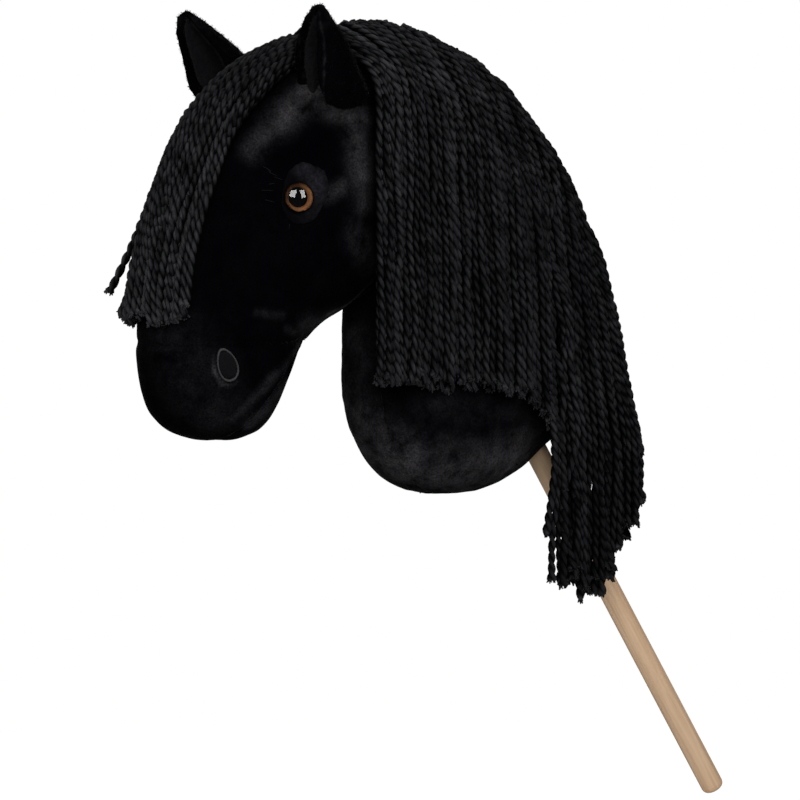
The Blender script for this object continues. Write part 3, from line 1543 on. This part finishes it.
# %% Mix the wood
beech, tree, shader = new_material("beech", {"Roughness": 0.6, "Specular IOR Level": 0.3})
where = object_place(tree)
lean = STICK_UP.to_track_quat("Z", "Y").inverted().to_euler()
along = add_node(tree, "Mapping", {"Vector": where, "Rotation": lean}, vector_type="POINT").outputs[0]
squeezed = add_node(tree, "Mapping", {"Vector": along, "Scale": (1.0, 1.0, 0.045)}).outputs[0]
streaks = speckle(tree, squeezed, 330.0, detail=5.0)
bands = speckle(tree, squeezed, 95.0)
grain = ranged(tree, calculated(tree, "ADD", streaks, bands), 0.7, 1.3, 0.0, 1.0)
bare = mix(tree, grain, (0.64, 0.405, 0.235, 1.0), (0.87, 0.615, 0.405, 1.0))
height = add_node(tree, "SeparateXYZ", {0: where}).outputs["Z"]
shaded = ranged(tree, height, 0.238, 0.290, 0.0, 0.6)
tone = mix(tree, shaded, bare, (0.17, 0.135, 0.085, 1.0))
tree.links.new(tone, shader.inputs["Base Color"])
bumped(tree, shader, streaks, 0.25, 0.0004)
refinish("stick", beech)
print("wood", beech.name)

# %% Mix the felt, the thread and the filling


def woolly(name, dark, light, scale, roughness, shading=None):
    """A matt finish of short fibres. The shading names the attribute that dims its light colour."""
    made, tree, shader = new_material(name, {"Roughness": roughness, "Specular IOR Level": 0.08})
    fluff = speckle(tree, object_place(tree), scale, detail=4.0)
    amount = calculated(tree, "MULTIPLY", painted(tree, shading), fluff) if shading else fluff
    tone = mix(tree, amount, (*dark, 1.0), (*light, 1.0))
    tree.links.new(tone, shader.inputs["Base Color"])
    bumped(tree, shader, fluff, 0.5, 0.0005)
    return made


grey_felt = woolly(
    "grey_felt", (0.0008, 0.0008, 0.0016), (0.034, 0.033, 0.042), 620.0, 0.95, shading="felt"
)
grey_thread = woolly("grey_thread", (0.040, 0.040, 0.043), (0.085, 0.085, 0.090), 900.0, 0.5)
dark_thread = woolly("dark_thread", (0.003, 0.003, 0.004), (0.011, 0.011, 0.013), 900.0, 0.6)
lash_thread = woolly("lash_thread", (0.005, 0.005, 0.006), (0.018, 0.018, 0.020), 900.0, 0.7)
filling = woolly("fibre_filling", (0.62, 0.62, 0.60), (0.88, 0.88, 0.86), 260.0, 1.0)
board = woolly("socket_card", (0.36, 0.27, 0.18), (0.50, 0.40, 0.29), 320.0, 0.9)

for node, bm in fillings.items():
    add_piece(node + "_fibre", bm, filling, replaces=(node,))
refinish("stick_socket", board)
print(len(fillings), "fillings placed")

# %% [markdown]
# A patch is cut from felt with scissors, so its edge is a little wavy. It is laid on the skin by rays
# along the eye's axis, which bends it to the head. Its shade is kept for each point: felt is dark
# where the eye presses it, bright where it turns to the light, and mottled all over.

# %% Cut the felt patches
PATCH_HALF = (0.0207, 0.0262)
PATCH_SHIFT = (0.0045, 0.0040)
PATCH_LEAN = math.radians(-20)
PATCH_WALL = 0.0010
PATCH_CORNER = 0.85
RAY_START = 0.03


def outward_of(placed):
    return placed.to_3x3() @ UP


def on_skin(placed, x, y, raised):
    """The place on the skin below a place in a frame, raised a little."""
    start = placed @ Vector((x, y, RAY_START))
    hit, normal = skin_tree.ray_cast(start, -outward_of(placed))[:2]
    return hit + normal * raised


def laid_disc(placed, outline, rings, segments, raised):
    """A disc of the outline's shape, laid on the skin along the frame's Z."""
    bm = spun([(0.0, 0.0)] + [(ring / rings, 0.0) for ring in range(1, rings + 1)], segments)
    for vert in bm.verts:
        x, y = outline(math.atan2(vert.co.y, vert.co.x))
        share = vert.co.xy.length
        vert.co = on_skin(placed, x * share, y * share, raised)
    bmesh.ops.recalc_face_normals(bm, faces=bm.faces[:])
    if sum((face.normal for face in bm.faces), Vector()).dot(outward_of(placed)) < 0:
        bmesh.ops.reverse_faces(bm, faces=bm.faces[:])
    return bm


def signed_power(value, exponent):
    return math.copysign(abs(value) ** exponent, value)


def patch_outline(angle):
    x = PATCH_HALF[0] * signed_power(math.cos(angle), PATCH_CORNER)
    y = PATCH_HALF[1] * signed_power(math.sin(angle), PATCH_CORNER)
    wave = 0.03 * math.sin(3 * angle) + 0.02 * math.sin(7 * angle) + 0.012 * math.sin(19 * angle)
    x, y = turned_flat(x, y, PATCH_LEAN)
    return x * (1 + wave), y * (1 + wave)


def felt_shade(x, y, place):
    """How bright the felt is at a place of the patch's frame."""
    edge = min(math.hypot(x / PATCH_HALF[0], y / PATCH_HALF[1]), 1.0)
    pressed = math.hypot(x + EYE_SHIFT + PATCH_SHIFT[0], y + PATCH_SHIFT[1])
    shadow = clamped((pressed - 0.0134) / 0.0020, low=0.04)
    hollow = bell(math.hypot(x + 0.015, y - 0.011), 0.011)
    lit = clamped(0.48 + (0.70 * x + 0.55 * y) / 0.045 - 0.5 * hollow, low=0.05)
    mottled = 1 + 0.7 * noise.noise(place * 150) + 0.7 * noise.noise(place * 420)
    return 0.92 * lit * shadow * (1 - edge**6 * 0.7) * max(mottled, 0.1)


for side, sign in SIDES.items():
    flip = Matrix.Diagonal((-sign, 1.0, 1.0, 1.0))
    placed = eye_frame(side) @ flip @ Matrix.Translation((*PATCH_SHIFT, 0.0))
    bm = laid_disc(placed, patch_outline, 26, 96, PATCH_WALL)
    back = placed.inverted()
    shades = [felt_shade(*(back @ vert.co).xy, vert.co) for vert in bm.verts]
    piece = add_piece(f"eye_patch_{side}_felt", bm, grey_felt, replaces=(f"eye_patch_{side}",))
    paint_points(piece.data, "felt", shades)
    thicken(piece, PATCH_WALL)
print("patches cut, with", len(shades), "points each")

# %% [markdown]
# The lashes and the nostrils are embroidered. Each stitch is a thin tube that follows the skin, so
# it catches the light as thread does. The lashes are few, short and straight.

# %% Sew the lashes
LASHES = (
    ((-0.0335, 0.0265), (-0.0265, 0.0225)), ((-0.0285, 0.0215), (-0.0215, 0.0185)),
    ((-0.0235, 0.0175), (-0.0165, 0.0150)), ((-0.0300, 0.0250), (-0.0260, 0.0205)),
    ((-0.0350, 0.0060), (-0.0245, 0.0058)), ((-0.0320, -0.0020), (-0.0240, -0.0042)),
    ((-0.0095, -0.0225), (-0.0100, -0.0270)), ((-0.0290, 0.0110), (-0.0235, 0.0120)),
)
LASH_RADIUS = 0.00026
LASH_RISE = 0.0004


def thread_piece(name, stitches, radius, replaces, finish):
    curve = new_tube(name, radius, 0)
    for stitch in stitches:
        add_spline(curve, stitch, [1.0] * len(stitch))
    return yarn_piece(curve, finish, replaces)


for side, sign in SIDES.items():
    placed = eye_frame(side)
    lashes = []
    for start, end in LASHES:
        steps = [Vector(start).lerp(Vector(end), step / 4) for step in range(5)]
        lashes.append([on_skin(placed, -sign * x, y, LASH_RISE) for x, y in steps])
    thread_piece(f"eye_lashes_{side}", lashes, LASH_RADIUS, (), lash_thread)
print(len(LASHES), "lashes sewn at each eye")

# %% [markdown]
# Satin stitches arch across the nostril's border, close together, and long upright stitches fill
# the middle. The fill is as wide as the egg at each place, less the border.

# %% Stitch the nostrils
STITCH_PITCH = 0.00055
STITCH_RADIUS = 0.00032
BORDER_STITCHES = 150
BORDER_ARCH = ((0.86, -0.0003), (0.89, 0.0006), (0.93, 0.0010), (0.97, 0.0006), (1.0, -0.0004))
FILL_HEIGHT = 0.84
FILL_WIDTH = 0.86
FILL_RISE = 0.0003
FILL_STEPS = 8


def within_nostril(x, y):
    """Whether a place in the nostril's frame is inside its border."""
    x, y = turned_flat(x, y, -NOSTRIL_LEAN)
    level = y / NOSTRIL_HALF[1]
    if abs(level) > FILL_HEIGHT:
        return False
    width = NOSTRIL_HALF[0] * math.sqrt(1 - level**2) * (1 - NOSTRIL_EGG * level)
    return abs(x) < width * FILL_WIDTH


def border_stitches(placed, sign):
    for number in range(BORDER_STITCHES):
        x, y = nostril_outline(2 * math.pi * number / BORDER_STITCHES)
        yield [
            on_skin(placed, -sign * x * share, y * share, raised) for share, raised in BORDER_ARCH
        ]


def fill_stitches(placed, sign):
    reach = NOSTRIL_HALF[0] * 0.9
    count = int(2 * reach / STITCH_PITCH)
    for number in range(count):
        x = -reach + 2 * reach * (number + 0.5) / count
        levels = [NOSTRIL_HALF[1] * (step / 30 - 1) for step in range(61)]
        inside = [y for y in levels if within_nostril(x, y)]
        if len(inside) > 3:
            length = inside[-1] - inside[0]
            heights = [inside[0] + length * step / FILL_STEPS for step in range(FILL_STEPS + 1)]
            yield [on_skin(placed, -sign * x, y, FILL_RISE) for y in heights]


for side, sign in SIDES.items():
    placed = nostril_frames[side]
    for node, stitches, finish in (
        ("nostril_border", border_stitches(placed, sign), grey_thread),
        ("nostril_patch", fill_stitches(placed, sign), dark_thread),
    ):
        packed = f"{node}_{side}"
        thread_piece(packed + "_stitches", stitches, STITCH_RADIUS, (packed,), finish)
print("nostrils stitched")
